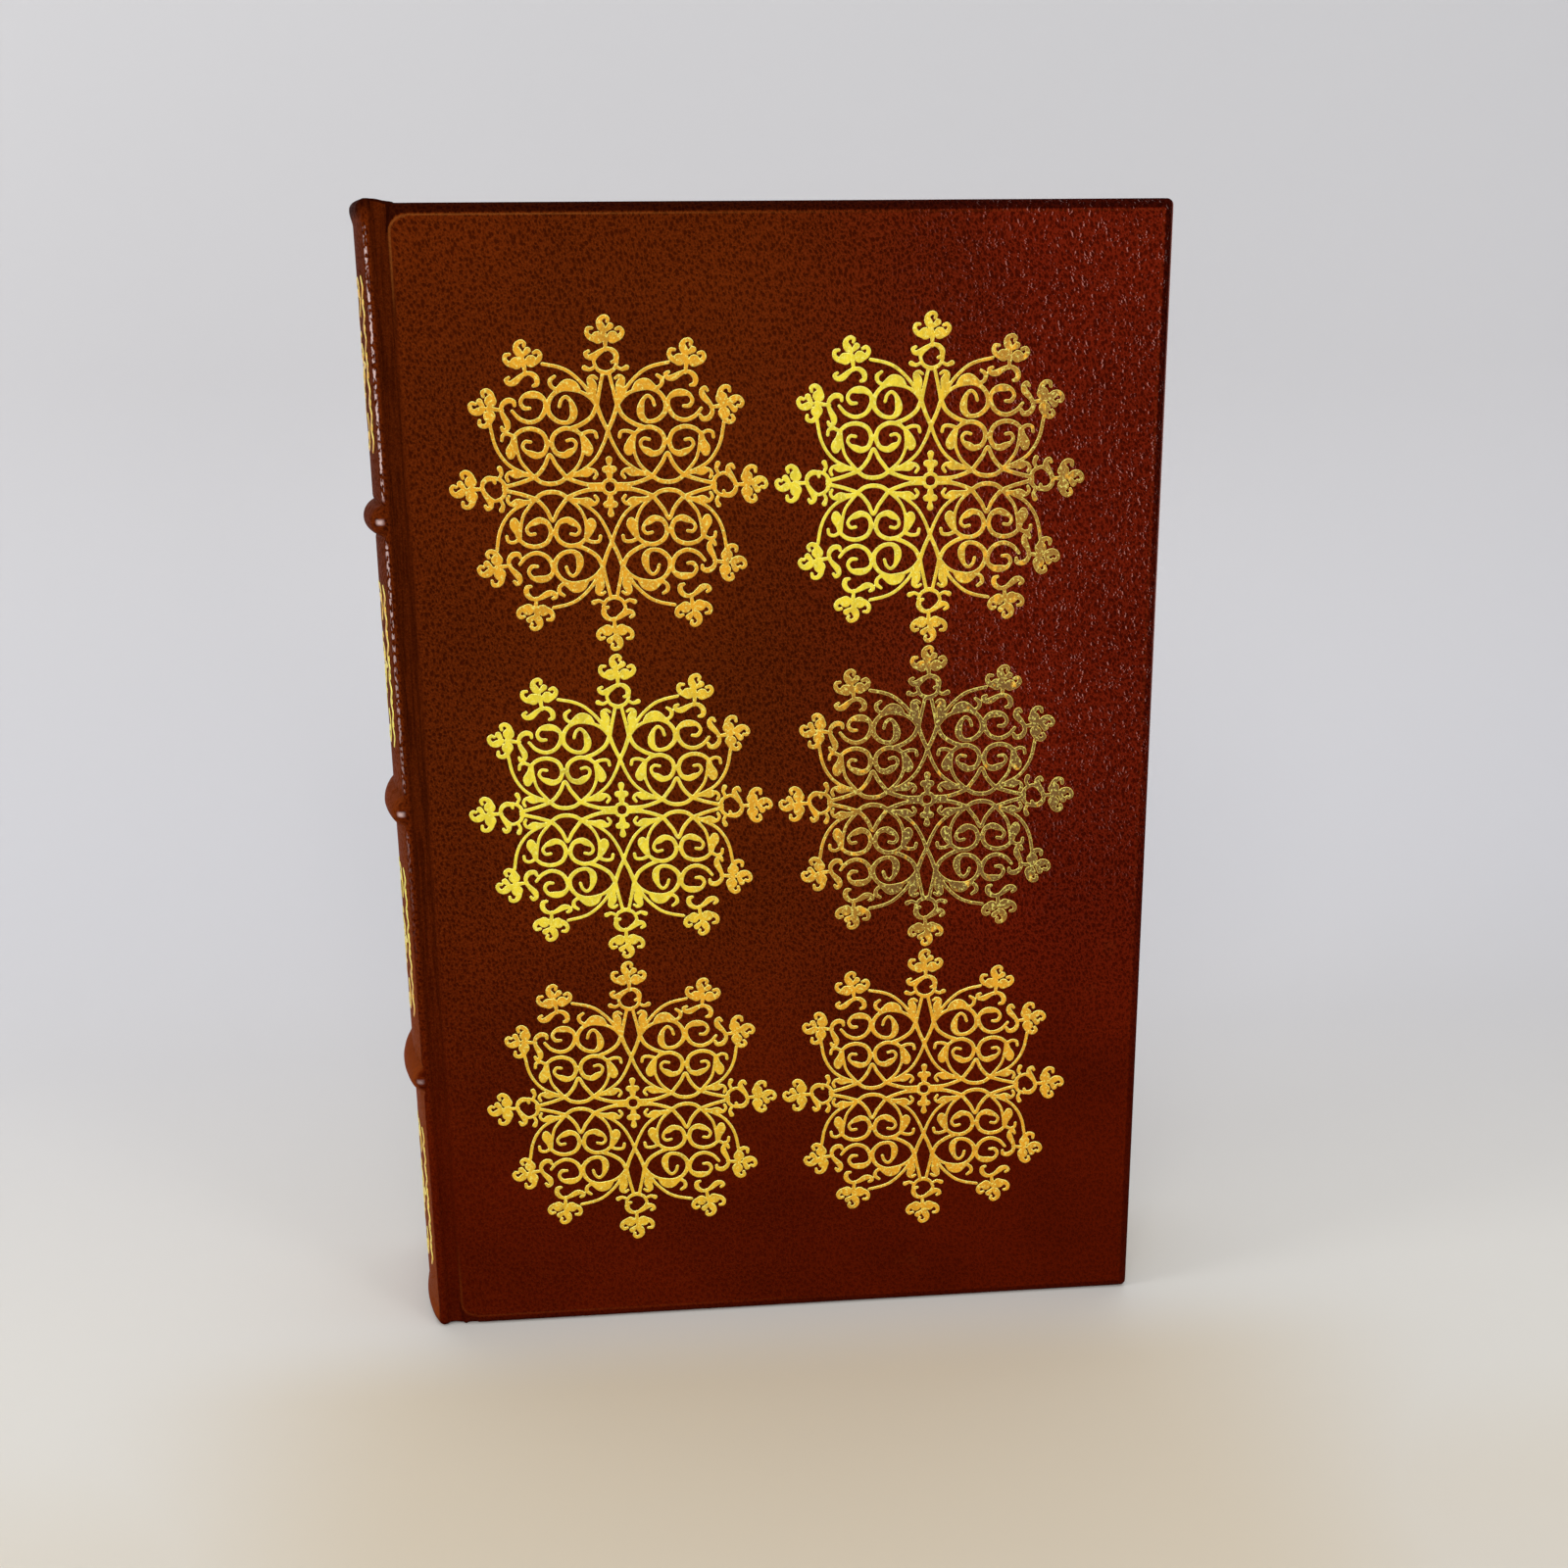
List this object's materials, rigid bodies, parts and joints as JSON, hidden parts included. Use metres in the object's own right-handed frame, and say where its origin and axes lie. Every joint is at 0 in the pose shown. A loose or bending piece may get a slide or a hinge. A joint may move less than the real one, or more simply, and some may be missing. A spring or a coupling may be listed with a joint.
{
  "type": "leather-bound book",
  "caption": "Closed leather-bound book with rounded spine, raised bands, grooved joints, gilt ornaments and two hinged covers.",
  "frame": {"origin": "middle of the foot of the closed book, at the level on which the tail edges of the covers stand", "axes": "+Z runs from tail to head, -Y is the outward normal of the front cover, +X runs from the spine to the fore edge"},
  "size_m": [0.1636, 0.0412, 0.2408],
  "materials": {
    "leather": "semi-gloss grained oxblood leather",
    "gilding": "stamped gold leaf",
    "leaves": "cream paper with cut edges",
    "endpaper": "plain endpaper",
    "board": "pressed binder's board",
    "inlay_card": "thin card",
    "lining_cloth": "open weave cloth",
    "endband_silk": "silk thread over a cord"
  },
  "bodies": {
    "book_block": {"text_block": "leaves", "spine_lining": "lining_cloth", "headband": "endband_silk", "tailband": "endband_silk", "front_flyleaf": "endpaper", "back_flyleaf": "endpaper", "spine_inlay": "inlay_card", "raised_band_1": "inlay_card", "raised_band_2": "inlay_card", "raised_band_3": "inlay_card", "spine_leather": "leather", "spine_ornament_1": "gilding", "spine_ornament_2": "gilding", "spine_ornament_3": "gilding", "spine_ornament_4": "gilding", "front_joint_leather": "leather", "back_joint_leather": "leather"},
    "front_cover": {"front_board": "board", "front_leather": "leather", "front_pastedown": "endpaper", "front_medallion_1": "gilding", "front_medallion_2": "gilding", "front_medallion_3": "gilding", "front_medallion_4": "gilding", "front_medallion_5": "gilding", "front_medallion_6": "gilding"},
    "back_cover": {"back_board": "board", "back_leather": "leather", "back_pastedown": "endpaper", "back_medallion_1": "gilding", "back_medallion_2": "gilding", "back_medallion_3": "gilding", "back_medallion_4": "gilding", "back_medallion_5": "gilding", "back_medallion_6": "gilding"}
  },
  "joints": [
    {"name": "front_cover_hinge", "type": "hinge", "parent": "book_block", "child": "front_cover", "pos_m": [-0.07234, -0.0205, 0.12], "axis": [0, 0, -1], "range_deg": [0, 175]},
    {"name": "back_cover_hinge", "type": "hinge", "parent": "book_block", "child": "back_cover", "pos_m": [-0.07234, 0.0205, 0.12], "axis": [0, 0, 1], "range_deg": [0, 175]}
  ]
}
